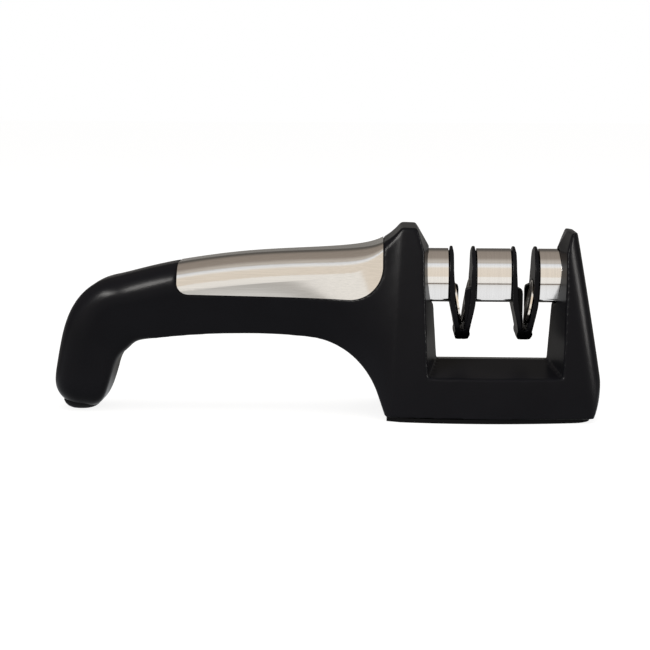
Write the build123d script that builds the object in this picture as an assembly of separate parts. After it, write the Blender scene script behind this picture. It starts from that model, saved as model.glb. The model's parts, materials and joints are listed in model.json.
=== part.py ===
from build123d import *
from math import cos, degrees, radians, sin, sqrt
import os

# Handheld pull-through knife sharpener. Millimetres, +Z up, +X from the handle to the head.
# The origin is on the table under the middle of the whole object.

# ---- overall sizes ------------------------------------------------------------------------
total_length = 210.0          # rear of the leg to the bulge of the head's end
left_end = -total_length / 2
right_end = total_length / 2
window_x = right_end - 40.0   # middle of the window
frame_height = 72.5           # top of the front pillar
sole_thickness = 1.6          # rubber sole under the head, and the pad under the leg
wall = 2.6                    # wall of the hollow handle and head
fit_gap = 0.15                # gap round a cover, plate or pad in its recess

# ---- handle -------------------------------------------------------------------------------
grip_half_width = 16.4        # half width of the grip's section, measured at its sharp corner
grip_low_half = 8.6           # half width of the flat underside
grip_round = 9.0              # radius of the grip's shoulders
low_round = 3.0               # radius along the lower edges
crown = 0.6                   # bulge of the grip's flanks
leg_half_width = 11.6

# ---- underside of the handle (side view) ---------------------------------------------------
arch_x, arch_z = window_x - 73.0, -1.0     # centre of the arch in front of the head
arch_radius = 30.8
arch_start, arch_end = 85.0, 20.0
grip_arc_radius = 280.0       # long curve under the grip
grip_arc_length = radians(13.3) * grip_arc_radius
elbow_round = 6.0
cover_thickness = 1.6
cover_half = 6.4
cover_screw_radius = 1.1
boss_radius = 2.9

# ---- head ---------------------------------------------------------------------------------
crease_top_x, crease_low_x = window_x - 35.4, window_x - 39.4    # crease of the head's front
head_low_half = 26.0          # half width of the head at the table
head_mid_half = 28.0          # at its widest
head_top_half = 15.0          # at the pillar tops
head_bulge = 2.6              # outward curve of the front and back faces
head_mid_x = window_x - 15.0
end_top_x = right_end - 8.6   # right end: top, bulge and foot
end_bulge_z = 16.5
end_low_x = right_end - 3.4
end_top_drop = 2.0            # the end pillar is lower than the front one
end_low_half = 22.4
end_top_half = 13.6
end_corner_round = 8.0

# ---- window and pillars ---------------------------------------------------------------------
window_top_half = 29.4        # half widths of the window on its ridge line, from the top down
window_bar_half = 24.2
window_low_half = 21.3
window_floor_z = 20.4
window_floor_draft = 4.0      # how far floor and sides fall back from ridge to front face
window_side_draft = 4.6
draft_reach = 30.0            # distance from the ridge over which that draft runs

# ---- bar, sleeves and guides ------------------------------------------------------------------
bar_z = frame_height - 19.5
sleeve_radius = 10.5
sleeve_wall = 0.8
sleeve_gap_angle = 38.0       # half angle of the sleeve's open underside
running_gap = 0.1             # between sleeve and bar
keel_rise = 0.25              # keel of the bar stands this far inside the sleeve's outer radius
tenon_radius = 2.5
tenon_length = 3.0
socket_depth = 3.6            # how far bar and sleeves run into the pillars
press_clearance = 0.02
tongue_length = 1.8           # tongues of the middle carrier that key the outer two
tongue_half_width = 3.0
tongue_low_z, tongue_high_z = bar_z - 23.6, bar_z - 21.6
bar_screw_radius = 1.5
bar_screw_grip = 7.0          # length of screw in the bar
bar_screw_seat = crease_top_x + 1.4
coarse_x, fine_x = window_x - 11.9, window_x + 12.0
guide_half = 5.2              # half width of a guide at its widest
guide_mouth_half = 4.7        # at its rim
guide_waist_half = 4.8        # at the wheels' axles
guide_waist_z = bar_z - 10.0
guide_neck_half = 3.4         # near its foot
guide_neck_z = bar_z - 21.0
guide_foot_z = bar_z - 26.4
guide_rim_radius = 11.4       # side view: rim round the bar
guide_low_radius = 12.6       # side view: lower bowl
sleeve_clearance = 0.2        # between a guide's flank and the sleeve's end
slot_top_half = 3.9           # knife slot, from the rim down
slot_mid_half = 2.4
slot_mid_z = bar_z + 3.0
slot_low_half = 0.9
slot_low_z = bar_z - 6.0
slot_floor_z = bar_z - 20.0
mouth_half = 3.5              # flared front and rear mouths of the slot
mouth_depth = 4.0

# ---- sharpening wheels --------------------------------------------------------------------------
wheel_radius = 8.8
wheel_thickness = 1.2
wheel_bevel = 0.5
wheel_tilt = 10.0             # degrees from upright
wheel_offset = 3.1            # along Y, one wheel ahead of the other
crossing_z = bar_z - 18.2     # height where the two inner faces cross
wheel_rise = 8.35             # wheel centre above that crossing, along the face
pin_radius = 1.5
pin_clearance = 0.05
pin_head_radius = 2.3
pin_head_thickness = 0.35
wheel_play = 0.12             # behind the wheel, in its pocket
pin_length = 2.9
pocket_radius = wheel_radius + 0.5

# ---- steel plate on the handle -------------------------------------------------------------------
plate_thickness = 0.8
plate_proud = 0.15
plate_left_x, plate_right_x = left_end + 49.0, window_x - 42.4
plate_left_low, plate_right_low = 46.4, 44.8
plate_left_round, plate_right_round = 4.5, 13.0
tab_half_width = 4.0          # tabs bent down from the plate's ends, pressed into the handle
tab_length = 4.0

# ---- base plate and sole ------------------------------------------------------------------------
base_plate_thickness = 2.0
sole_inset = 0.8
base_pocket_height = 9.0
base_pocket_left, base_pocket_right = window_x - 29.0, window_x + 27.0
base_pocket_half = 17.0
base_ledge = 2.0
base_screw_radius = 1.3
screw_head_radius = 2.4
screw_head_height = 1.2
base_screw_grip = 6.0
base_screw_x = window_x - 1.0
cover_screw_length = 9.0
cover_head_radius = 2.0
cover_head_height = 0.9
cover_head_sink = 0.15
cavity_half = 4.9             # narrower than the cover, which rests on the ledge this leaves
cavity_depth = 21.0
cavity_margin = 1.6
bar_screw_mouth = crease_top_x - 5.6       # the plate hides the mouth of the screw's bore
pad_x = left_end + 10.8
pad_length, pad_width, pad_round = 10.4, 11.2, 4.4

far = 300.0


# ---- small helpers --------------------------------------------------------------------------
def prism(face, half):
    """A face drawn in side view (x, z), thickened to both sides of the middle plane."""
    return extrude(Plane.XZ * face, amount=half, both=True)


def side_polygon(points):
    return make_face(Polyline(*points, close=True))


def arc_point(centre, radius, angle):
    return (centre[0] + radius * cos(radians(angle)), centre[1] + radius * sin(radians(angle)))


def box_between(low, high):
    size = [b - a for a, b in zip(low, high)]
    middle = [(a + b) / 2 for a, b in zip(low, high)]
    return Pos(*middle) * Box(*size)


def rod(x, y, low, high, radius):
    """An upright cylinder from the height low to the height high."""
    return Pos(x, y, (low + high) / 2) * Cylinder(radius, high - low)


# ---- handle and head form ---------------------------------------------------------------------
def section(station, inset=0.0):
    """Rounded cross-section in the plane through the outer and inner points of a station."""
    outer, inner, low_half, high_half, low_corner, high_corner, bulge = station
    height = sqrt((outer[0] - inner[0]) ** 2 + (outer[1] - inner[1]) ** 2)
    upward = Vector(outer[0] - inner[0], 0, outer[1] - inner[1]).normalized()
    across = Vector(0, 1, 0)
    plane = Plane(origin=(inner[0], 0, inner[1]), x_dir=across, z_dir=across.cross(upward))
    slope = (high_half - low_half) / height
    shrink = inset * sqrt(1 + slope**2)
    low, high = inset, height - inset
    low_w = low_half + slope * low - shrink
    high_w = low_half + slope * high - shrink
    middle_w = (low_w + high_w) / 2 + bulge
    outline = [
        Line((-low_w, low), (low_w, low)),
        ThreePointArc((low_w, low), (middle_w, (low + high) / 2), (high_w, high)),
        Line((high_w, high), (-high_w, high)),
        ThreePointArc((-high_w, high), (-middle_w, (low + high) / 2), (-low_w, low)),
    ]
    face = make_face(outline)
    if low_corner > 0:
        face = fillet(face.vertices().sort_by(Axis.Y)[:2], max(low_corner - inset, 0.4))
    if high_corner > 0:
        tops = [v for v in face.vertices() if abs(v.Y - high) < 1e-4 and abs(abs(v.X) - high_w) < 1e-4]
        face = fillet(tops, max(high_corner - inset, 0.4))
    return plane * face


head_crease = ((crease_top_x, frame_height), (crease_low_x, 0.0), head_low_half, head_top_half,
               low_round, 1.6, head_bulge)

# The leg goes with the left end and the neck with the head, and the grip stretches between them.
drawn_leg_x, drawn_neck_x = -91.4, 2.0
leg_x, neck_x = left_end + 13.6, window_x - 63.0


def stretched(x):
    """Place along the grip, from the place at which it is drawn."""
    share = (x - drawn_leg_x) / (drawn_neck_x - drawn_leg_x)
    return leg_x + share * (neck_x - leg_x)


# outer point, inner point, half widths low and high, corner radii low and high, bulge
leg_stations = [
    ((left_end + 6.4, 1.6), (left_end + 15.0, 1.2), 5.4, 5.4, 2.2, 4.0, 0.3),
    ((left_end + 2.8, 4.2), (left_end + 18.4, 3.4), 9.0, 9.4, 3.0, 7.0, 0.4),
    ((left_end + 0.1, 9.5), (left_end + 21.0, 8.4), leg_half_width - 0.4, 12.4, 3.2, 9.0, 0.5),
    ((left_end + 0.6, 17.0), (left_end + 23.1, 15.0), leg_half_width, 13.2, 3.2, 9.5, 0.5),
    ((left_end + 2.8, 28.0), (left_end + 25.0, 20.2), leg_half_width - 0.6, 14.6, low_round, 9.5, 0.5),
    ((left_end + 6.6, 39.0), (left_end + 27.4, 23.0), leg_half_width - 1.6, 15.6, low_round, 9.5, 0.6),
    ((leg_x, 47.6), (left_end + 31.4, 24.6), grip_low_half + 0.8, 16.2, low_round, grip_round, crown),
]
grip_shape = (grip_low_half, grip_half_width, low_round, grip_round, crown)
grip_stations = [
    ((stretched(-80.0), 52.4), (stretched(-66.0), 26.2), *grip_shape),
    ((stretched(-62.0), 56.8), (stretched(-54.0), 28.0), *grip_shape),
    ((stretched(-40.0), 60.3), (stretched(-37.0), 29.2), *grip_shape),
    ((stretched(-16.0), 62.4), (stretched(-16.0), 28.8), *grip_shape),
]
neck_front_z = 66.0
neck_stations = [
    ((neck_x, 63.3), (neck_x - 2.0, 23.5), grip_low_half + 0.8, grip_half_width + 0.1, low_round, 9.0, 1.2),
    ((window_x - 52.0, 64.2), (window_x - 54.5, 15.0), 12.0, 16.8, low_round, 8.6, 2.2),
    ((window_x - 44.0, neck_front_z), (window_x - 47.0, 5.0), 17.5, 16.4, low_round, 6.2, 2.8),
    head_crease,
]


def handle_form(inset=0.0):
    stations = leg_stations + grip_stations + neck_stations
    return loft([section(station, inset) for station in stations])


def grip_form(inset):
    """The stretch between the elbow and the head, drawn inwards by inset."""
    stations = leg_stations[-1:] + grip_stations + neck_stations
    return loft([section(station, inset) for station in stations])


def head_form():
    """The block that becomes base and pillars: barrel-sided, with a rounded and sloping right end."""
    reach = right_end + 12.0
    stations = [
        (head_crease[0], head_crease[1], head_low_half, head_top_half, 0, 0, head_bulge),
        ((head_mid_x, frame_height), (head_mid_x, 0.0), head_mid_half, head_top_half + 0.5, 0, 0, head_bulge),
        ((reach, frame_height), (reach, 0.0), end_low_half, end_top_half, 0, 0, head_bulge),
    ]
    block = loft([section(station) for station in stations])
    end_slope = (right_end - end_top_x) / (frame_height - end_top_drop - end_bulge_z)
    low_reach = right_end + end_slope * end_bulge_z
    high_reach = end_top_x - end_slope * end_top_drop
    slope_side = side_polygon([(0, 0), (low_reach, 0), (high_reach, frame_height), (0, frame_height)])
    block = block & prism(slope_side, far)
    upright = [e for e in block.edges() if e.center().X > end_top_x - 1 and e.bounding_box().size.Z > 40]
    block = fillet(upright, end_corner_round)
    profile = make_face([
        Polyline((0, 0), (end_low_x, 0)),
        ThreePointArc((end_low_x, 0), (right_end - 0.9, 7.0), (right_end, end_bulge_z)),
        Polyline((right_end, end_bulge_z), (right_end, frame_height),
                 (end_top_x, frame_height - end_top_drop), (crease_top_x, frame_height),
                 (0, frame_height), (0, 0)),
    ])
    return block & prism(profile, far) & extrude(head_plan(0.0), frame_height)


def head_plan(inset):
    """Plan of the head at the table: barrel-sided, with large round corners at the right end."""
    left, right = crease_low_x - 8.0 + inset * 12, right_end - inset
    low, mid, end = head_low_half + 3.0, head_mid_half + 3.0, end_low_half + 2.6
    if inset:
        left, right = crease_low_x + 1.2, end_low_x - inset
        low, mid, end = head_low_half - inset, head_mid_half - inset + 0.4, end_low_half + 0.9 - inset
    face = make_face([
        ThreePointArc((left, -low), (head_mid_x, -mid), (right, -end)),
        Line((right, -end), (right, end)),
        ThreePointArc((right, end), (head_mid_x, mid), (left, low)),
        Line((left, low), (left, -low)),
    ])
    return fillet(face.vertices().sort_by(Axis.X)[-2:], end_corner_round)


def window_cutter():
    """Opening between the pillars, drafted both ways from a ridge in the middle plane."""
    top = frame_height + 12
    ridge = [(window_top_half, top), (window_top_half, frame_height),
             (window_bar_half, bar_z + sleeve_radius), (window_low_half, window_floor_z)]
    front = [(window_top_half + 0.6, top), (window_top_half + 0.6, frame_height),
             (window_bar_half + window_side_draft, bar_z + sleeve_radius),
             (window_low_half + window_side_draft, window_floor_z - window_floor_draft)]

    def outline(points, y):
        left = [(window_x - half, y, z) for half, z in points]
        right = [(window_x + half, y, z) for half, z in reversed(points)]
        return make_face(Polyline(*left, *right, close=True))

    middle = outline(ridge, 0)
    halves = [loft([middle, outline(front, side * draft_reach)], ruled=True) for side in (-1, 1)]
    return halves[0] + halves[1]


# ---- underside of the handle --------------------------------------------------------------------
arch_centre = (arch_x, arch_z)
joint_point = arc_point(arch_centre, arch_radius, arch_start)
grip_arc_span = degrees((grip_arc_length + neck_x - leg_x - drawn_neck_x + drawn_leg_x) / grip_arc_radius)
grip_centre = arc_point(joint_point, grip_arc_radius, arch_start + 180)


def underside(depth, start_angle, end_angle):
    """The two arcs under the grip and the arch, moved into the handle by depth."""
    radius = grip_arc_radius + depth
    span = [start_angle, (start_angle + arch_start) / 2, arch_start]
    grip = ThreePointArc(*[arc_point(grip_centre, radius, a) for a in span])
    radius = arch_radius + depth
    span = [arch_start, (arch_start + end_angle) / 2, end_angle]
    arch = ThreePointArc(*[arc_point(arch_centre, radius, a) for a in span])
    return grip, arch


def finger_gap():
    grip, arch = underside(0.0, arch_start + grip_arc_span, arch_end)
    start, end = grip @ 0, arch @ 1
    leg_x = start.X - elbow_round
    foot_x = end.X + (end.Y + 5) * sin(radians(arch_end)) / cos(radians(arch_end))
    elbow = ThreePointArc((leg_x, start.Y - elbow_round),
                          (leg_x + 0.29 * elbow_round, start.Y - 0.29 * elbow_round), start)
    rest = Polyline(end, (foot_x, -5), (leg_x, -5), (leg_x, start.Y - elbow_round))
    return prism(make_face([elbow, grip, arch, rest]), far)


def cover_band(depth_low, depth_high, half, margin):
    start_angle = arch_start + grip_arc_span - 1.2 - degrees(margin / grip_arc_radius)
    end_angle = arch_end + 8.0 + degrees(margin / arch_radius)
    grip_low, arch_low = underside(depth_low, start_angle, end_angle)
    grip_high, arch_high = underside(depth_high, start_angle, end_angle)
    face = make_face([grip_low, arch_low, Line(arch_low @ 1, arch_high @ 1), arch_high, grip_high,
                      Line(grip_high @ 0, grip_low @ 0)])
    return prism(face, half - margin)


cover_screw_places = (left_end + 45.0, arch_x + 8.0)


def underside_z(x):
    """Height of the handle's underside at x."""
    if x < joint_point[0]:
        return grip_centre[1] + sqrt(grip_arc_radius**2 - (x - grip_centre[0]) ** 2)
    return arch_z + sqrt(arch_radius**2 - (x - arch_x) ** 2)


# ---- bar with its guides ------------------------------------------------------------------------
socket_left = window_x - window_bar_half - socket_depth
socket_right = window_x + window_bar_half + socket_depth
bar_radius = sleeve_radius - sleeve_wall - running_gap


def lengthwise(radius, low, high, z=bar_z, y=0.0):
    """A cylinder along X between two places."""
    return Pos((low + high) / 2, y, z) * Rot(0, 90, 0) * Cylinder(radius, high - low)


def open_wedge(half_angle, low, high):
    """Wedge under the bar's axis, used to open the sleeves and to shape the keel."""
    reach = 2 * sleeve_radius
    side = reach * sin(radians(half_angle)) / cos(radians(half_angle))
    face = make_face(Polyline((0, bar_z), (-side, bar_z - reach), (side, bar_z - reach), close=True))
    return Pos(low, 0, 0) * extrude(Plane.YZ * face, high - low)


def bar_form(low, high):
    bar = lengthwise(bar_radius, low, high)
    keel = lengthwise(sleeve_radius - keel_rise, low, high)
    return bar + (keel & open_wedge(sleeve_gap_angle - 1.0, low, high))


def sleeve(low, high):
    tube = lengthwise(sleeve_radius, low, high) - lengthwise(sleeve_radius - sleeve_wall, low, high)
    return tube - open_wedge(sleeve_gap_angle, low, high)


def guide_form(x):
    rim_z = bar_z + guide_rim_radius + 1
    heights = [(guide_neck_half, guide_neck_z), (guide_waist_half, guide_waist_z), (guide_half, slot_mid_z),
               (guide_mouth_half, rim_z)]
    points = [(x - half, z) for half, z in heights] + [(x + half, z) for half, z in reversed(heights)]
    front = make_face([Polyline(*points), ThreePointArc(points[-1], (x, guide_foot_z), points[0])])
    low_centre = guide_foot_z + guide_low_radius
    rounds = [Pos(0, bar_z) * Circle(guide_rim_radius), Pos(0, low_centre) * Circle(guide_low_radius)]
    side = make_hull(rounds[0].edges() + rounds[1].edges())
    return prism(front, far) & (Pos(x, 0, 0) * extrude(Plane.YZ * side, amount=2 * guide_half, both=True))


def slot_cutter(x):
    """V slot for the blade, with mouths that flare to the front and the rear."""
    rim_z = bar_z + guide_rim_radius + 2
    levels = [rim_z, slot_mid_z, slot_low_z, slot_floor_z]
    widths = [slot_top_half + 0.2, slot_mid_half, slot_low_half, slot_low_half]
    mouths = [slot_top_half + 0.3, mouth_half + 0.3, mouth_half, slot_low_half + 0.4]

    def outline(halves, y):
        left = [(x - half, y, z) for half, z in zip(halves, levels)]
        right = [(x + half, y, z) for half, z in zip(reversed(halves), reversed(levels))]
        return make_face(Polyline(*left, *right, close=True))

    reach = guide_low_radius + 0.5
    cutter = extrude(outline(widths, -reach), amount=2 * reach, dir=(0, 1, 0))
    for side in (-1, 1):
        start = outline(widths, side * (reach - mouth_depth))
        cutter += loft([start, outline(mouths, side * reach)], ruled=True)
    return cutter


# ---- wheels ---------------------------------------------------------------------------------------
# One wheel leans left and one leans right of each slot: slot place, lean, place along Y.
wheel_places = {
    "coarse_front_wheel": (coarse_x, -1, -wheel_offset),
    "coarse_rear_wheel": (coarse_x, 1, wheel_offset),
    "fine_front_wheel": (fine_x, 1, -wheel_offset),
    "fine_rear_wheel": (fine_x, -1, wheel_offset),
}


def wheel_plane(x, lean, y):
    """Plane of a wheel's inner face; its normal points out of the slot, along the axle."""
    tilt = radians(wheel_tilt)
    centre = (x + lean * wheel_rise * sin(tilt), y, crossing_z + wheel_rise * cos(tilt))
    return Plane(origin=centre, x_dir=(0, 1, 0), z_dir=(lean * cos(tilt), 0, -sin(tilt)))


def disc(plane, radius, low, high):
    return plane * Pos(0, 0, (low + high) / 2) * Cylinder(radius, high - low)


def make_wheel(plane):
    rim = wheel_thickness - wheel_bevel
    profile = make_face(Polyline(
        (pin_radius + pin_clearance, 0), (wheel_radius, 0), (wheel_radius, rim),
        (wheel_radius - 2 * wheel_bevel, wheel_thickness),
        (pin_radius + pin_clearance, wheel_thickness), close=True))
    wheel = revolve(Plane.XZ * profile, Axis.Z)
    recess = disc(Plane.XY, pin_head_radius + pin_clearance, -1, pin_head_thickness + pin_clearance)
    return plane * (wheel - recess)


def make_pin(plane):
    head = disc(plane, pin_head_radius, 0, pin_head_thickness)
    return head + disc(plane, pin_radius, pin_head_thickness / 2, pin_length)


def wheel_pocket(plane):
    bore = disc(plane, pin_radius + press_clearance, 0, pin_length + press_clearance)
    return disc(plane, pocket_radius, -2.0, wheel_thickness + wheel_play) + bore


def tongue(x, side, margin):
    """Key across the joint under a slot, or its pocket when grown by margin."""
    ends = sorted([x - side * 0.5, x + side * (tongue_length + margin)])
    half = tongue_half_width + margin
    return box_between((ends[0], -half, tongue_low_z - margin), (ends[1], half, tongue_high_z + margin))


def make_carriers():
    """Three mouldings: bar stretches with half guides, parted by the two knife slots."""
    whole = bar_form(socket_left + fit_gap, socket_right - fit_gap)
    for x in (coarse_x, fine_x):
        whole = whole + guide_form(x)
    whole = whole + lengthwise(tenon_radius, socket_right - 1, socket_right + tenon_length - fit_gap)
    for x in (coarse_x, fine_x):
        whole = whole - slot_cutter(x)
    whole = whole - lengthwise(bar_screw_radius + press_clearance, 0, socket_left + bar_screw_grip)
    spans = {"carrier_left": (0, coarse_x), "carrier_middle": (coarse_x, fine_x),
             "carrier_right": (fine_x, far)}
    carriers = {}
    for name, (low, high) in spans.items():
        carrier = whole & box_between((low, -far, 0), (high, far, far))
        for x, lean, y in wheel_places.values():
            home = x + lean * guide_half / 2
            if low < home < high:
                carrier = carrier - wheel_pocket(wheel_plane(x, lean, y))
        carriers[name] = carrier
    carriers["carrier_middle"] += tongue(coarse_x, -1, 0.0) + tongue(fine_x, 1, 0.0)
    carriers["carrier_left"] -= tongue(coarse_x, -1, press_clearance)
    carriers["carrier_right"] -= tongue(fine_x, 1, press_clearance)
    return carriers


# ---- body ---------------------------------------------------------------------------------------
plate_ends = [(plate_left_x, 1), (plate_right_x, -1)]
plate_end_heights = {plate_left_x: 57.8, plate_right_x: neck_front_z + 0.4}


def plate_outline(margin):
    """Side view of the steel plate, grown by margin."""
    left, right = plate_left_x - margin, plate_right_x + margin
    low_left, low_right = plate_left_low - margin, plate_right_low - margin
    face = side_polygon([(left, low_left), (right, low_right), (right, 80), (left, 80)])
    low = face.vertices().sort_by(Axis.Y)[:2].sort_by(Axis.X)
    face = fillet(low[0], plate_left_round)
    corner = [v for v in face.vertices() if abs(v.X - right) < 1e-4 and v.Y < 60]
    return prism(fillet(corner, plate_right_round), far)


def plate_skin(depth_out, depth_in, margin):
    skin = grip_form(depth_out) - grip_form(depth_in)
    return skin & plate_outline(margin)


def plate_tab(x, side, margin):
    """Tab under the plate's end at x, or its slot when grown by margin."""
    ends = sorted([x + side * (0.1 - margin), x + side * (0.1 + plate_thickness + margin)])
    half = tab_half_width + margin
    surface = plate_end_heights[x] - plate_thickness
    return box_between((ends[0], -half, surface - tab_length - margin), (ends[1], half, surface + 0.4))


def base_slab(margin, low, high):
    return box_between((base_pocket_left - margin, -base_pocket_half - margin, low),
                       (base_pocket_right + margin, base_pocket_half + margin, high))


base_plate_top = sole_thickness + base_plate_thickness
base_pocket_top = base_plate_top + base_pocket_height


def make_body():
    body = handle_form() + head_form()
    body = body - finger_gap() - window_cutter()
    body = body & box_between((-far, -far, sole_thickness), (far, far, far))
    # hollow handle, opened along its underside and closed by the cover on a ledge
    cavity = cover_band(0.0, cavity_depth, cavity_half, cavity_margin)
    for x in cover_screw_places:
        top = underside_z(x) + cover_screw_length
        low = underside_z(x) + cover_thickness + fit_gap
        cavity = cavity - box_between((x - boss_radius, -far, low), (x + boss_radius, far, far))
        body = body - rod(x, 0, 0, top, cover_screw_radius + press_clearance)
    body = body - cavity - cover_band(-1.0, cover_thickness + fit_gap, cover_half + fit_gap, 0.0)
    # recess of the steel plate, with slots for its tabs
    body = body - plate_skin(-2.0, plate_thickness + fit_gap, fit_gap)
    for x, side in plate_ends:
        body = body - plate_tab(x, side, press_clearance)
    # sockets of the bar, and the screw that pulls it into the front pillar
    body = body - lengthwise(sleeve_radius + fit_gap, socket_left, window_x)
    body = body - lengthwise(sleeve_radius + fit_gap, window_x, socket_right)
    body = body - lengthwise(tenon_radius + fit_gap, window_x, socket_right + tenon_length)
    body = body - lengthwise(bar_screw_radius + fit_gap, bar_screw_seat - 1, window_x)
    body = body - lengthwise(screw_head_radius + 2 * fit_gap, bar_screw_mouth, bar_screw_seat)
    # hollow base with its ledge and boss
    body = body - base_slab(base_ledge, 0, base_plate_top + fit_gap)
    pocket = base_slab(0, 0, base_pocket_top)
    pocket = pocket - rod(base_screw_x, 0, base_plate_top + fit_gap, frame_height / 2, boss_radius)
    screw_top = base_plate_top + base_screw_grip
    return body - pocket - rod(base_screw_x, 0, 0, screw_top, base_screw_radius + press_clearance)


# ---- steel plate, covers, pads and fasteners -------------------------------------------------------
def make_plate():
    plate = plate_skin(-plate_proud, plate_thickness, 0.0)
    for x, side in plate_ends:
        plate = plate + plate_tab(x, side, 0.0)
    return plate


def make_under_cover():
    cover = cover_band(0.0, cover_thickness, cover_half, fit_gap)
    for x in cover_screw_places:
        low = underside_z(x)
        cover = cover - rod(x, 0, 0, frame_height, cover_screw_radius + fit_gap)
        cover = cover - rod(x, 0, 0, low + cover_head_height, cover_head_radius + fit_gap)
    return cover


def make_cover_screws():
    screws = []
    for x in cover_screw_places:
        low = underside_z(x)
        head = rod(x, 0, low + cover_head_sink, low + cover_head_height, cover_head_radius)
        screws.append(head + rod(x, 0, low + cover_head_height / 2, low + cover_screw_length - fit_gap,
                                 cover_screw_radius))
    return screws


def make_base_plate():
    plate = base_slab(base_ledge - fit_gap, sole_thickness, base_plate_top)
    plate = fillet(plate.edges().filter_by(Axis.Z), 1.5)
    plate = plate - rod(base_screw_x, 0, 0, frame_height, base_screw_radius + fit_gap)
    return plate - rod(base_screw_x, 0, 0, sole_thickness + screw_head_height, screw_head_radius + fit_gap)


def make_base_screw():
    head = rod(base_screw_x, 0, sole_thickness, sole_thickness + screw_head_height, screw_head_radius)
    top = base_plate_top + base_screw_grip - fit_gap
    return head + rod(base_screw_x, 0, sole_thickness + 0.5, top, base_screw_radius)


def make_bar_screw():
    head = lengthwise(screw_head_radius, bar_screw_seat - screw_head_height, bar_screw_seat)
    return head + lengthwise(bar_screw_radius, bar_screw_seat - 0.5, socket_left + bar_screw_grip - fit_gap)


def make_sole():
    return extrude(head_plan(sole_inset), sole_thickness)


def make_leg_pad():
    low = RectangleRounded(pad_length - 2.4, pad_width - 2.4, pad_round - 1.2)
    high = RectangleRounded(pad_length, pad_width, pad_round)
    return loft([Pos(pad_x, 0, 0) * low, Pos(pad_x, 0, sole_thickness) * high])


def build():
    parts = {"body_shell": make_body(), "top_plate": make_plate(),
             "under_cover": make_under_cover(), "cover_screws": make_cover_screws(),
             "base_plate": make_base_plate(), "base_screw": make_base_screw(), "base_sole": make_sole(),
             "leg_pad": make_leg_pad(), "bar_screw": make_bar_screw()}
    parts.update(make_carriers())
    reach = guide_half + sleeve_clearance
    parts["sleeve_left"] = sleeve(socket_left + fit_gap, coarse_x - reach)
    parts["sleeve_middle"] = sleeve(coarse_x + reach, fine_x - reach)
    parts["sleeve_right"] = sleeve(fine_x + reach, socket_right - fit_gap)
    for name, (x, lean, y) in wheel_places.items():
        plane = wheel_plane(x, lean, y)
        parts[name] = make_wheel(plane)
        parts[name.replace("wheel", "axle")] = make_pin(plane)
    return parts


os.makedirs("parts", exist_ok=True)
for name, shape in build().items():
    if isinstance(shape, list):
        shape = Compound(children=shape)
    export_step(shape, f"parts/{name}.step")
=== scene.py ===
import json
from math import cos, pi, radians, sin

import bmesh
import bpy
from mathutils import Matrix, Vector

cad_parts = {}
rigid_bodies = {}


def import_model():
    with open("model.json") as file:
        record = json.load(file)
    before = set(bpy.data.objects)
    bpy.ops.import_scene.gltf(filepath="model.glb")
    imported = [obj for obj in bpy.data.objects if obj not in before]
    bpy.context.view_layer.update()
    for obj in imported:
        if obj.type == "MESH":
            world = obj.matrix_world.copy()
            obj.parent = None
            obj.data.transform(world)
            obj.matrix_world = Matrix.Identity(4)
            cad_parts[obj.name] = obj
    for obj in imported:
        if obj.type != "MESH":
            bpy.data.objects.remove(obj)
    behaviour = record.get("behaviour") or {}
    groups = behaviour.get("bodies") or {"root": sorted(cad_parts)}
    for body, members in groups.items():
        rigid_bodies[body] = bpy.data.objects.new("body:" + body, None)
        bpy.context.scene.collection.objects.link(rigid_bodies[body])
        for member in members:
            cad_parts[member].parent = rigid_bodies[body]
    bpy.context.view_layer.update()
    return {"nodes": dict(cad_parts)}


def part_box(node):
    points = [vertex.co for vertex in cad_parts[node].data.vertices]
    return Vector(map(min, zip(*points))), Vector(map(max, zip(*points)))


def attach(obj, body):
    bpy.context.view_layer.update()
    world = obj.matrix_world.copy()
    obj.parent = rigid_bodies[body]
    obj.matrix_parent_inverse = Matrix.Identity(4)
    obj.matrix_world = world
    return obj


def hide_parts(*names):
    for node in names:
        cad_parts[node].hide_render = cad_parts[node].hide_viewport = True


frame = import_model()

MM = 0.001

# ---- camera and light, in metres and degrees ------------------------------------------------
CAMERA_DISTANCE = 0.65
CAMERA_ELEVATION = 8.0
CAMERA_AZIMUTH = -2.0
CAMERA_ROLL = -0.2
CAMERA_AIM = Vector((0.0002, 0.0, 0.0331))
CAMERA_LENS = 92.4

WARM_WHITE = (1.0, 0.975, 0.945)
SENSOR_WIDTH = 36.0         # millimetres
FLOOR_HALF = 6.0


# ---- material helpers ---------------------------------------------------------------------------
def new_material(name):
    material = bpy.data.materials.new(name)
    material.use_nodes = True
    return material, material.node_tree.nodes, material.node_tree.links


def shader_of(material):
    return material.node_tree.nodes["Principled BSDF"]


def add(nodes, kind, **values):
    node = nodes.new(kind)
    for key, value in values.items():
        if key in node.inputs:
            node.inputs[key].default_value = value
        else:
            setattr(node, key, value)
    return node


def object_space(nodes, links, scale=(1, 1, 1)):
    """Object coordinates, stretched along chosen axes."""
    coordinates = add(nodes, "ShaderNodeTexCoord")
    mapping = add(nodes, "ShaderNodeMapping")
    mapping.inputs["Scale"].default_value = scale
    links.new(coordinates.outputs["Object"], mapping.inputs["Vector"])
    return mapping.outputs["Vector"]


def ramp(nodes, links, source, stops):
    node = add(nodes, "ShaderNodeValToRGB")
    elements = node.color_ramp.elements
    while len(elements) < len(stops):
        elements.new(0.5)
    for element, (place, colour) in zip(elements, stops):
        element.position = place
        element.color = (*colour, 1) if len(colour) == 3 else colour
    links.new(source, node.inputs["Fac"])
    return node.outputs["Color"]


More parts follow.
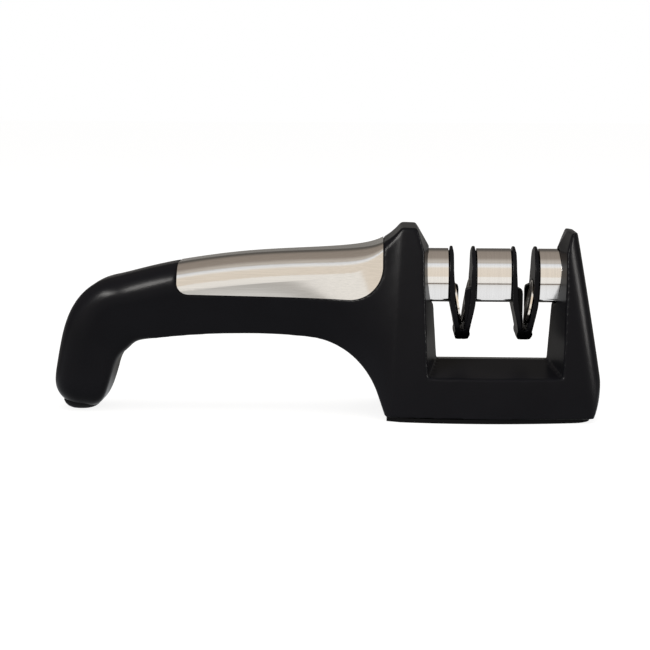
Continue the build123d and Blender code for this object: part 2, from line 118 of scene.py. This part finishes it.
def plastic(name, colour, roughness, grain=9000.0, bump=0.06, variation=0.03, gloss=0.25):
    """Moulded plastic: fine grain in the surface, and a faint unevenness of its sheen."""
    material, nodes, links = new_material(name)
    shader = shader_of(material)
    shader.inputs["IOR"].default_value = 1.48
    shader.inputs["Specular IOR Level"].default_value = gloss
    place = object_space(nodes, links)
    fine = add(nodes, "ShaderNodeTexNoise", Scale=grain, Detail=2.0, Roughness=0.5)
    broad = add(nodes, "ShaderNodeTexNoise", Scale=45.0, Detail=3.0, Roughness=0.55)
    links.new(place, fine.inputs["Vector"])
    links.new(place, broad.inputs["Vector"])
    tone = ramp(nodes, links, broad.outputs["Fac"],
                [(0.3, tuple(c * 0.9 for c in colour)), (0.7, tuple(c * 1.12 for c in colour))])
    links.new(tone, shader.inputs["Base Color"])
    sheen = add(nodes, "ShaderNodeMapRange")
    sheen.inputs["To Min"].default_value = roughness - variation
    sheen.inputs["To Max"].default_value = roughness + variation
    links.new(broad.outputs["Fac"], sheen.inputs["Value"])
    links.new(sheen.outputs["Result"], shader.inputs["Roughness"])
    relief = add(nodes, "ShaderNodeBump", Strength=bump, Distance=0.00005)
    links.new(fine.outputs["Fac"], relief.inputs["Height"])
    links.new(relief.outputs["Normal"], shader.inputs["Normal"])
    return material


def steel(name, colour, roughness, stretch, bump=0.05, streak=0.06, anisotropy=0.3):
    """Steel with fine tool lines along one direction, wider or narrower by the stretch."""
    material, nodes, links = new_material(name)
    shader = shader_of(material)
    shader.inputs["Metallic"].default_value = 1.0
    shader.inputs["Anisotropic"].default_value = anisotropy
    place = object_space(nodes, links, stretch)
    lines = add(nodes, "ShaderNodeTexNoise", Scale=1.0, Detail=4.0, Roughness=0.6)
    links.new(place, lines.inputs["Vector"])
    tone = ramp(nodes, links, lines.outputs["Fac"],
                [(0.25, tuple(c * (1 - streak) for c in colour)),
                 (0.75, tuple(min(1, c * (1 + streak)) for c in colour))])
    links.new(tone, shader.inputs["Base Color"])
    sheen = add(nodes, "ShaderNodeMapRange")
    sheen.inputs["To Min"].default_value = roughness * 0.8
    sheen.inputs["To Max"].default_value = roughness * 1.25
    links.new(lines.outputs["Fac"], sheen.inputs["Value"])
    links.new(sheen.outputs["Result"], shader.inputs["Roughness"])
    relief = add(nodes, "ShaderNodeBump", Strength=bump, Distance=0.00003)
    links.new(lines.outputs["Fac"], relief.inputs["Height"])
    links.new(relief.outputs["Normal"], shader.inputs["Normal"])
    return material


def ground_wheel(name, centre, rim_from):
    """Dark ground disc with fine rings round its centre and a polished rim."""
    material, nodes, links = new_material(name)
    shader = shader_of(material)
    shader.inputs["Metallic"].default_value = 1.0
    place = add(nodes, "ShaderNodeTexCoord")
    reach = add(nodes, "ShaderNodeVectorMath", operation="DISTANCE")
    reach.inputs[1].default_value = centre
    links.new(place.outputs["Object"], reach.inputs[0])
    rings = add(nodes, "ShaderNodeTexNoise", noise_dimensions="1D", Scale=5200.0, Detail=3.0)
    links.new(reach.outputs["Value"], rings.inputs["W"])
    grit = add(nodes, "ShaderNodeTexNoise", Scale=2600.0, Detail=2.0)
    links.new(place.outputs["Object"], grit.inputs["Vector"])
    rim = add(nodes, "ShaderNodeMapRange")
    rim.inputs["From Min"].default_value = rim_from - 0.00015
    rim.inputs["From Max"].default_value = rim_from
    links.new(reach.outputs["Value"], rim.inputs["Value"])
    face = ramp(nodes, links, grit.outputs["Fac"],
                [(0.3, (0.075, 0.057, 0.044)), (0.72, (0.16, 0.125, 0.1))])
    tone = add(nodes, "ShaderNodeMix", data_type="RGBA")
    links.new(rim.outputs["Result"], tone.inputs[0])
    links.new(face, tone.inputs[6])
    tone.inputs[7].default_value = (0.82, 0.76, 0.68, 1)
    links.new(tone.outputs[2], shader.inputs["Base Color"])
    sheen = add(nodes, "ShaderNodeMapRange")
    sheen.inputs["To Min"].default_value = 0.42
    sheen.inputs["To Max"].default_value = 0.14
    links.new(rim.outputs["Result"], sheen.inputs["Value"])
    links.new(sheen.outputs["Result"], shader.inputs["Roughness"])
    relief = add(nodes, "ShaderNodeBump", Strength=0.25, Distance=0.00004)
    links.new(rings.outputs["Fac"], relief.inputs["Height"])
    links.new(relief.outputs["Normal"], shader.inputs["Normal"])
    return material


MATERIALS = {
    "shell": plastic("satin_black_plastic", (0.0022, 0.0022, 0.0028), 0.3, bump=0.05, gloss=0.055),
    "cover": plastic("textured_black_plastic", (0.004, 0.004, 0.0045), 0.5,
                     grain=5000.0, bump=0.12, gloss=0.12),
    "guide": plastic("guide_black_plastic", (0.0025, 0.0025, 0.003), 0.3, bump=0.03, gloss=0.045),
    "rubber": plastic("black_rubber", (0.004, 0.004, 0.0045), 0.72, grain=3500.0, bump=0.15, gloss=0.1),
    "plate": steel("brushed_plate_steel", (0.76, 0.74, 0.71), 0.13, (25, 2600, 2600), bump=0.03),
    "sleeve": steel("polished_sleeve_steel", (0.80, 0.785, 0.765), 0.1, (2400, 60, 60), bump=0.02),
    "screw": steel("zinc_steel", (0.6, 0.6, 0.58), 0.25, (700, 700, 700)),
}

NODE_FINISH = {
    "body_shell": "shell", "under_cover": "cover", "base_plate": "cover", "base_sole": "rubber",
    "leg_pad": "rubber", "top_plate": "plate", "cover_screws": "screw",
    "base_screw": "screw", "bar_screw": "screw",
    "carrier_left": "guide", "carrier_middle": "guide", "carrier_right": "guide",
    "sleeve_left": "sleeve", "sleeve_middle": "sleeve", "sleeve_right": "sleeve",
}


def finish_of(node):
    return "screw" if node.endswith("_axle") else NODE_FINISH[node]


WHEEL_RIM_FROM = 0.0082
for node_name, node_object in frame["nodes"].items():
    if node_name.endswith("_wheel"):
        low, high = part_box(node_name)
        middle = [(a + b) / 2 for a, b in zip(low, high)]
        material = ground_wheel(node_name + "_steel", middle, WHEEL_RIM_FROM)
    else:
        material = MATERIALS[finish_of(node_name)]
    for material_slot in node_object.material_slots:
        material_slot.material = material


# ---- rounded copies of the moulded pieces: voxels and heights in millimetres -------------------------
def evaluated(piece):
    """The piece's mesh with its modifiers applied, kept as its own mesh."""
    bpy.context.view_layer.update()
    mesh = bpy.data.meshes.new_from_object(piece.evaluated_get(bpy.context.evaluated_depsgraph_get()))
    piece.modifiers.clear()
    piece.data = mesh
    return mesh


def adopt(piece, node):
    """Lets the piece stand for a CAD node, in that node's material."""
    piece.data.materials.clear()
    piece.data.materials.append(MATERIALS[finish_of(node)])
    piece.data.shade_smooth()
    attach(piece, "frame")
    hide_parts(node)


def moulded_copy(node, voxel, rounds, cutters=()):
    """Copy of a CAD node whose sharp edges are eased as a mould leaves them."""
    source = frame["nodes"][node]
    piece = bpy.data.objects.new(node + "_moulded", source.data.copy())
    bpy.context.collection.objects.link(piece)
    weld = piece.modifiers.new("weld", "WELD")
    weld.merge_threshold = 0.00001
    for cutter in cutters:
        cut = piece.modifiers.new("cut", "BOOLEAN")
        cut.operation = "DIFFERENCE"
        cut.solver = "EXACT"
        cut.object = cutter
    even = piece.modifiers.new("even", "REMESH")
    even.mode = "VOXEL"
    even.voxel_size = voxel * MM
    even.use_smooth_shade = True
    ease = piece.modifiers.new("ease", "SMOOTH")
    ease.factor = 0.5
    ease.iterations = rounds
    evaluated(piece)
    return piece


def side_prism(name, outline, low_y, high_y):
    """A closed solid from an outline in X and Z, in millimetres, between two places along Y."""
    bm = bmesh.new()
    ring = [bm.verts.new((x * MM, low_y * MM, z * MM)) for x, z in outline]
    base = bm.faces.new(ring)
    moved = bmesh.ops.extrude_face_region(bm, geom=[base])["geom"]
    for vert in moved:
        if isinstance(vert, bmesh.types.BMVert):
            vert.co.y = high_y * MM
    bmesh.ops.recalc_face_normals(bm, faces=bm.faces[:])
    mesh = bpy.data.meshes.new(name)
    bm.to_mesh(mesh)
    bm.free()
    solid = bpy.data.objects.new(name, mesh)
    bpy.context.collection.objects.link(solid)
    return solid


BODY_VOXEL, BODY_ROUNDS = 0.55, 9
# Middle of the elbow between leg and grip, and how far its easing reaches, in metres.
ELBOW_CENTRE = Vector((-0.0765, 0.0, 0.026))
ELBOW_REACH = 0.012
ELBOW_ROUNDS = 160


def make_body():
    body = moulded_copy("body_shell", BODY_VOXEL, BODY_ROUNDS)
    # the elbow between the leg and the grip is one soft curve
    elbow = body.vertex_groups.new(name="elbow")
    for vert in body.data.vertices:
        gap = (Vector((vert.co.x, 0.0, vert.co.z)) - ELBOW_CENTRE).length
        if gap < ELBOW_REACH:
            elbow.add([vert.index], 1.0 - (gap / ELBOW_REACH) ** 2, "REPLACE")
    ease = body.modifiers.new("elbow", "SMOOTH")
    ease.vertex_group = "elbow"
    ease.factor = 0.5
    ease.iterations = ELBOW_ROUNDS
    evaluated(body)
    body.vertex_groups.clear()
    adopt(body, "body_shell")


# Half width of each guide's opening, by height, in millimetres: above the wheels, and at the front.
GUIDE_THROAT = [(3.4, 67.0), (3.4, 56.0), (3.05, 49.4), (0.9, 48.4)]
GUIDE_MOUTH = [(3.4, 67.0), (3.4, 56.0), (2.8, 45.0), (2.05, 39.0), (1.25, 34.6), (0.5, 32.6)]
SLOT_PLACES = (53.1, 77.0)
GUIDE_VOXEL, GUIDE_ROUNDS = 0.22, 4
CUTTER_REACH = 15.0         # how far the cutters run to the front and rear
MOUTH_FROM = 9.2            # the flared mouths start here
# The guides' flanks narrow downward from the first height over the second distance, by this share.
FOOT_TOP_Z, FOOT_RISE, FOOT_NARROWING = 44.0, 12.0, 0.2
POCKET_HALF = 2.4           # the wheels' pockets lie within this distance of the slot's middle
FLANK_BLEND = 0.8
# Below the wheels' pockets the guides are drawn up, by up to this distance at the foot.
LIFT_TOP_Z, LIFT_SPAN, FOOT_LIFT = 34.0, 7.4, 1.6


def both_sides(x, halves):
    """Outline symmetric about the upright line at x."""
    return [(x - half, z) for half, z in halves] + [(x + half, z) for half, z in reversed(halves)]


def share_of(value, start, span):
    """How far the value is past the start, as a share of the span from 0 to 1."""
    return min(max((value - start) / span, 0.0), 1.0)


def draw_in_foot(guide):
    """Narrows the outer flanks low on each guide, clear of the wheels' pockets, and lifts its foot."""
    for vert in guide.data.vertices:
        x, z = vert.co.x / MM, vert.co.z / MM
        place = min(SLOT_PLACES, key=lambda middle: abs(x - middle))
        low = share_of(-z, -FOOT_TOP_Z, FOOT_RISE)
        outer = share_of(abs(x - place), POCKET_HALF, FLANK_BLEND)
        narrowing = FOOT_NARROWING * low * low * (3.0 - 2.0 * low) * outer
        vert.co.x = (place + (x - place) * (1.0 - narrowing)) * MM
        vert.co.z += FOOT_LIFT * share_of(-z, -LIFT_TOP_Z, LIFT_SPAN) * MM


def make_guides():
    cutters = []
    for index, x in enumerate(SLOT_PLACES):
        throat, mouth = both_sides(x, GUIDE_THROAT), both_sides(x, GUIDE_MOUTH)
        cutters.append(side_prism(f"throat_{index}", throat, -CUTTER_REACH, CUTTER_REACH))
        cutters.append(side_prism(f"front_{index}", mouth, -CUTTER_REACH, -MOUTH_FROM))
        cutters.append(side_prism(f"rear_{index}", mouth, MOUTH_FROM, CUTTER_REACH))
    for side in ("left", "middle", "right"):
        guide = moulded_copy("carrier_" + side, GUIDE_VOXEL, GUIDE_ROUNDS, cutters)
        draw_in_foot(guide)
        adopt(guide, "carrier_" + side)
    for cutter in cutters:
        bpy.data.objects.remove(cutter)


# ---- steel sleeves ----------------------------------------------------------------------------------
BAR_AXIS_Z = 53.0
SLEEVE_RADIUS = 10.5
SLEEVE_SHEET = 0.8


def sleeve_outline():
    """Section of the sheet over the bar, from the rear lip over the top to the front lip."""
    outer = []
    for step in range(73):
        angle = radians(90 - 104 * step / 72)
        outer.append((SLEEVE_RADIUS * cos(angle), SLEEVE_RADIUS * sin(angle)))
    low = outer[-1]
    for step in range(1, 13):
        share = step / 12
        outer.append((low[0] - 1.75 * share - 0.45 * share * share, low[1] - 5.9 * share))
    lip = outer[-1]
    for step in range(1, 7):
        angle = radians(90 * step / 6)
        outer.append((lip[0] - 0.55 * (1 - cos(angle)) - 0.1 * step / 6, lip[1] - 0.55 * sin(angle)))
    inner = []
    for i in range(len(outer) - 1, -1, -1):
        before, after = outer[max(i - 1, 0)], outer[min(i + 1, len(outer) - 1)]
        along = Vector((after[0] - before[0], after[1] - before[1])).normalized()
        inner.append((outer[i][0] + along.y * SLEEVE_SHEET, outer[i][1] - along.x * SLEEVE_SHEET))
    return outer, inner


def make_sleeve(node):
    low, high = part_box(node)
    outer, inner = sleeve_outline()
    half = outer + inner
    # the half section is mirrored to the rear side, as (y, z) with the front at -Y
    front = [(-y, z) for y, z in half]
    bm = bmesh.new()
    places = [low[0], low[0] + 0.12 * MM, high[0] - 0.12 * MM, high[0]]
    for mirror in (1, -1):
        rings = []
        for index, x in enumerate(places):
            inset = 0.12 if index in (0, 3) else 0.0
            ring = []
            for y, z in front:
                reach = Vector((y, z))
                if inset:
                    reach = reach * (1 - inset / max(reach.length, 1))
                ring.append(bm.verts.new((x, mirror * reach.x * MM, (BAR_AXIS_Z + reach.y) * MM)))
            rings.append(ring)
        count = len(front)
        for first, second in zip(rings, rings[1:]):
            for i in range(count - 1):
                bm.faces.new((first[i], first[i + 1], second[i + 1], second[i]))
        for ring in (rings[0], rings[-1]):
            for i in range(len(outer) - 1):
                j = count - 1 - i
                bm.faces.new((ring[i], ring[i + 1], ring[j - 1], ring[j]))
    bmesh.ops.remove_doubles(bm, verts=bm.verts[:], dist=0.000005)
    bmesh.ops.recalc_face_normals(bm, faces=bm.faces[:])
    mesh = bpy.data.meshes.new(node + "_sheet")
    bm.to_mesh(mesh)
    bm.free()
    piece = bpy.data.objects.new(node + "_sheet", mesh)
    bpy.context.collection.objects.link(piece)
    adopt(piece, node)
    # ends and lips stay crisp
    mesh.set_sharp_from_angle(angle=radians(40))


# ---- sole and foot ------------------------------------------------------------------------------------
# How far the sole is drawn out, and its straight left edge, in metres.
SOLE_LENGTHEN, SOLE_WIDEN = 1.017, 1.012
SOLE_EDGE_FROM, SOLE_EDGE_X, SOLE_EDGE_TAPER = 0.0265, 0.0244, 0.93


def make_sole():
    """The sole, drawn out flush with the foot of the head."""
    source = frame["nodes"]["base_sole"]
    piece = bpy.data.objects.new("base_sole_flush", source.data.copy())
    bpy.context.collection.objects.link(piece)
    low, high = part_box("base_sole")
    middle = (low[0] + high[0]) / 2
    for vert in piece.data.vertices:
        vert.co.x = middle + (vert.co.x - middle) * SOLE_LENGTHEN
        vert.co.y *= SOLE_WIDEN
        if vert.co.x < SOLE_EDGE_FROM:
            vert.co.x = SOLE_EDGE_X
            vert.co.y *= SOLE_EDGE_TAPER
    adopt(piece, "base_sole")
    piece.data.set_sharp_from_angle(angle=radians(35))


# Rings of the leg's rubber cap: height, half length, half width, in millimetres.
CAP_RINGS = [(0.0, 3.4, 4.4), (0.25, 4.5, 5.5), (0.8, 5.7, 6.7), (1.5, 6.5, 7.6),
             (2.3, 7.05, 8.2), (3.2, 7.45, 8.7), (4.1, 7.6, 8.85)]
CAP_X = -94.9
CAP_CORNERS = 72
CAP_SQUARENESS = 0.85       # 1 is an ellipse, and less is squarer


def make_cap():
    bm = bmesh.new()
    count = CAP_CORNERS
    rings = []
    for z, half_length, half_width in CAP_RINGS:
        ring = []
        for i in range(count):
            angle = 2 * pi * i / count
            along = abs(cos(angle)) ** CAP_SQUARENESS * (1 if cos(angle) > 0 else -1)
            across = abs(sin(angle)) ** CAP_SQUARENESS * (1 if sin(angle) > 0 else -1)
            x, y = CAP_X + half_length * along, half_width * across
            ring.append(bm.verts.new((x * MM, y * MM, z * MM)))
        rings.append(ring)
    for first, second in zip(rings, rings[1:]):
        for i in range(count):
            j = (i + 1) % count
            bm.faces.new((first[i], first[j], second[j], second[i]))
    bm.faces.new(rings[0][::-1])
    bm.faces.new(rings[-1])
    mesh = bpy.data.meshes.new("leg_cap")
    bm.to_mesh(mesh)
    bm.free()
    cap = bpy.data.objects.new("leg_cap", mesh)
    bpy.context.collection.objects.link(cap)
    smooth = cap.modifiers.new("smooth", "SUBSURF")
    smooth.levels = 1
    smooth.render_levels = 1
    evaluated(cap)
    adopt(cap, "leg_pad")


make_body()
make_guides()
make_sole()
make_cap()
for side in ("left", "middle", "right"):
    make_sleeve("sleeve_" + side)


# ---- stage: floor, soft studio light and camera ---------------------------------------------------
def linear(*values):
    """Linear colour from display values of 0 to 255."""
    return tuple(((v / 255 + 0.055) / 1.055) ** 2.4 if v > 10 else v / 255 / 12.92 for v in values)


# What polished metal sees around the object, by the angle from straight ahead (-Y) over the top.
STUDIO_BANDS = [
    (-180, linear(250, 250, 250)), (-60, linear(235, 235, 235)), (-35, linear(170, 168, 165)),
    (-30, linear(112, 108, 104)), (-24, linear(115, 112, 108)), (-16, linear(240, 229, 215)),
    (36, linear(243, 233, 220)), (43, linear(252, 252, 252)), (54, linear(240, 243, 248)),
    (60, linear(196, 189, 181)), (66, linear(206, 199, 191)),
    (84, linear(158, 148, 139)), (122, linear(152, 142, 133)), (142, linear(96, 92, 88)),
    (165, linear(98, 95, 91)), (180, linear(150, 147, 143)),
]


def make_floor():
    mesh = bpy.data.meshes.new("floor")
    half = FLOOR_HALF
    corners = [(-half, -half, 0), (half, -half, 0), (half, half, 0), (-half, half, 0)]
    mesh.from_pydata(corners, [], [(0, 1, 2, 3)])
    floor = bpy.data.objects.new("floor", mesh)
    bpy.context.collection.objects.link(floor)
    material, nodes, links = new_material("white_table")
    shader = shader_of(material)
    shader.inputs["Base Color"].default_value = (0.8, 0.8, 0.8, 1)
    shader.inputs["Roughness"].default_value = 0.7
    shader.inputs["Specular IOR Level"].default_value = 0.0
    rays = add(nodes, "ShaderNodeLightPath")
    seen = add(nodes, "ShaderNodeMath", operation="MAXIMUM")
    links.new(rays.outputs["Is Camera Ray"], seen.inputs[0])
    links.new(rays.outputs["Is Transmission Ray"], seen.inputs[1])
    white = add(nodes, "ShaderNodeEmission", Strength=0.86)
    shade = add(nodes, "ShaderNodeBsdfDiffuse", Color=(0.3, 0.3, 0.3, 1))
    backdrop = add(nodes, "ShaderNodeAddShader")
    links.new(white.outputs[0], backdrop.inputs[0])
    links.new(shade.outputs[0], backdrop.inputs[1])
    # painted reflection: glossy rays see the floor glowing in bands, white near the object and darker
    # further to the front
    place = add(nodes, "ShaderNodeTexCoord")
    split = add(nodes, "ShaderNodeSeparateXYZ")
    links.new(place.outputs["Object"], split.inputs[0])
    distance = add(nodes, "ShaderNodeMapRange")
    distance.inputs["From Min"].default_value = -0.16
    distance.inputs["From Max"].default_value = 0.16
    links.new(split.outputs["Y"], distance.inputs["Value"])
    bands = ramp(nodes, links, distance.outputs["Result"], [
        (0.0, linear(255, 252, 247)), (0.13, linear(252, 249, 245)), (0.18, linear(196, 193, 189)),
        (0.215, linear(196, 194, 191)), (0.24, linear(226, 225, 223)), (0.28, linear(244, 244, 244)),
        (0.33, linear(250, 252, 255)), (0.55, linear(250, 252, 255)), (0.68, linear(150, 148, 145)),
        (1.0, linear(140, 138, 135))])
    # painted reflection: a narrow brown strip, seen by glossy rays only, in front of the head alone
    strip = ramp(nodes, links, distance.outputs["Result"], [
        (0.16, (0, 0, 0)), (0.18, (1, 1, 1)), (0.215, (1, 1, 1)), (0.235, (0, 0, 0))])
    beside = add(nodes, "ShaderNodeMapRange")
    beside.inputs["From Max"].default_value = 0.03
    links.new(split.outputs["X"], beside.inputs["Value"])
    # mask of the painted brown reflection strip
    painted_reflection_strip = add(nodes, "ShaderNodeMath", operation="MULTIPLY")
    links.new(strip, painted_reflection_strip.inputs[0])
    links.new(beside.outputs["Result"], painted_reflection_strip.inputs[1])
    tones = add(nodes, "ShaderNodeMix", data_type="RGBA")
    tones.inputs[7].default_value = (*linear(112, 98, 86), 1)
    links.new(painted_reflection_strip.outputs[0], tones.inputs[0])
    links.new(bands, tones.inputs[6])
    mirrored = add(nodes, "ShaderNodeEmission")
    links.new(tones.outputs[2], mirrored.inputs["Color"])
    first = add(nodes, "ShaderNodeMixShader")
    links.new(seen.outputs[0], first.inputs[0])
    links.new(shader.outputs[0], first.inputs[1])
    links.new(backdrop.outputs[0], first.inputs[2])
    second = add(nodes, "ShaderNodeMixShader")
    links.new(rays.outputs["Is Glossy Ray"], second.inputs[0])
    links.new(first.outputs[0], second.inputs[1])
    links.new(mirrored.outputs[0], second.inputs[2])
    links.new(second.outputs[0], nodes["Material Output"].inputs["Surface"])
    mesh.materials.append(material)


def area_light(name, place, aim, size, strength, colour=WARM_WHITE):
    light = bpy.data.lights.new(name, "AREA")
    light.shape = "RECTANGLE"
    light.size, light.size_y = size
    light.energy = strength
    light.color = colour
    lamp = bpy.data.objects.new(name, light)
    lamp.location = place
    lamp.rotation_euler = (Vector(aim) - Vector(place)).to_track_quat("-Z", "Y").to_euler()
    bpy.context.collection.objects.link(lamp)
    return lamp


def make_lights():
    centre = (0, 0, 0.04)
    front = area_light("front_card", (0.0, -1.2, 0.5), centre, (2.2, 0.8), 6)
    top = area_light("top_card", (0.0, -0.1, 1.2), centre, (1.4, 0.6), 6)
    for lamp in (front, top):
        lamp.visible_glossy = False
    # two cards that shine on the moulded pieces alone, and draw out their edges and shoulders
    moulded = bpy.data.collections.new("moulded_pieces")
    for piece in bpy.context.scene.objects:
        if piece.name.endswith("_moulded"):
            moulded.objects.link(piece)
    right = area_light("right_card", (0.9, -0.25, 0.35), centre, (0.2, 0.45), 11)
    left = area_light("left_card", (-0.5, -0.72, 0.66), centre, (0.45, 0.22), 26)
    for lamp in (right, left):
        lamp.light_linking.receiver_collection = moulded


def make_world():
    world = bpy.data.worlds.new("studio")
    bpy.context.scene.world = world
    world.use_nodes = True
    nodes, links = world.node_tree.nodes, world.node_tree.links
    place = add(nodes, "ShaderNodeTexCoord")
    split = add(nodes, "ShaderNodeSeparateXYZ")
    links.new(place.outputs["Generated"], split.inputs[0])
    ahead = add(nodes, "ShaderNodeMath", operation="MULTIPLY")
    ahead.inputs[1].default_value = -1.0
    links.new(split.outputs["Y"], ahead.inputs[0])
    turn = add(nodes, "ShaderNodeMath", operation="ARCTAN2")
    links.new(split.outputs["Z"], turn.inputs[0])
    links.new(ahead.outputs[0], turn.inputs[1])
    share = add(nodes, "ShaderNodeMapRange")
    share.inputs["From Min"].default_value = -pi
    share.inputs["From Max"].default_value = pi
    links.new(turn.outputs[0], share.inputs["Value"])
    bands = ramp(nodes, links, share.outputs["Result"], [((a + 180) / 360, c) for a, c in STUDIO_BANDS])
    rays = add(nodes, "ShaderNodeLightPath")
    white = add(nodes, "ShaderNodeBackground", Color=(1, 1, 1, 1), Strength=1.0)
    mirrored = add(nodes, "ShaderNodeBackground", Strength=1.0)
    links.new(bands, mirrored.inputs["Color"])
    soft = nodes["Background"]
    soft.inputs["Color"].default_value = (*WARM_WHITE, 1)
    soft.inputs["Strength"].default_value = 0.45
    first = add(nodes, "ShaderNodeMixShader")
    links.new(rays.outputs["Is Glossy Ray"], first.inputs[0])
    links.new(soft.outputs[0], first.inputs[1])
    links.new(mirrored.outputs[0], first.inputs[2])
    seen = add(nodes, "ShaderNodeMath", operation="MAXIMUM")
    links.new(rays.outputs["Is Camera Ray"], seen.inputs[0])
    links.new(rays.outputs["Is Transmission Ray"], seen.inputs[1])
    second = add(nodes, "ShaderNodeMixShader")
    links.new(seen.outputs[0], second.inputs[0])
    links.new(first.outputs[0], second.inputs[1])
    links.new(white.outputs[0], second.inputs[2])
    links.new(second.outputs[0], nodes["World Output"].inputs["Surface"])


def make_camera():
    data = bpy.data.cameras.new("camera")
    data.lens = CAMERA_LENS
    data.sensor_width = SENSOR_WIDTH
    camera = bpy.data.objects.new("camera", data)
    azimuth, elevation = radians(CAMERA_AZIMUTH), radians(CAMERA_ELEVATION)
    away = Vector((-sin(azimuth) * cos(elevation), -cos(azimuth) * cos(elevation), sin(elevation)))
    camera.location = CAMERA_AIM + away * CAMERA_DISTANCE
    look = (-away).to_track_quat("-Z", "Y").to_matrix()
    camera.rotation_euler = (look @ Matrix.Rotation(radians(-CAMERA_ROLL), 3, "Z")).to_euler()
    bpy.context.collection.objects.link(camera)
    bpy.context.scene.camera = camera


make_floor()
make_lights()
make_world()
make_camera()

scene = bpy.context.scene
scene.view_settings.view_transform = "Standard"
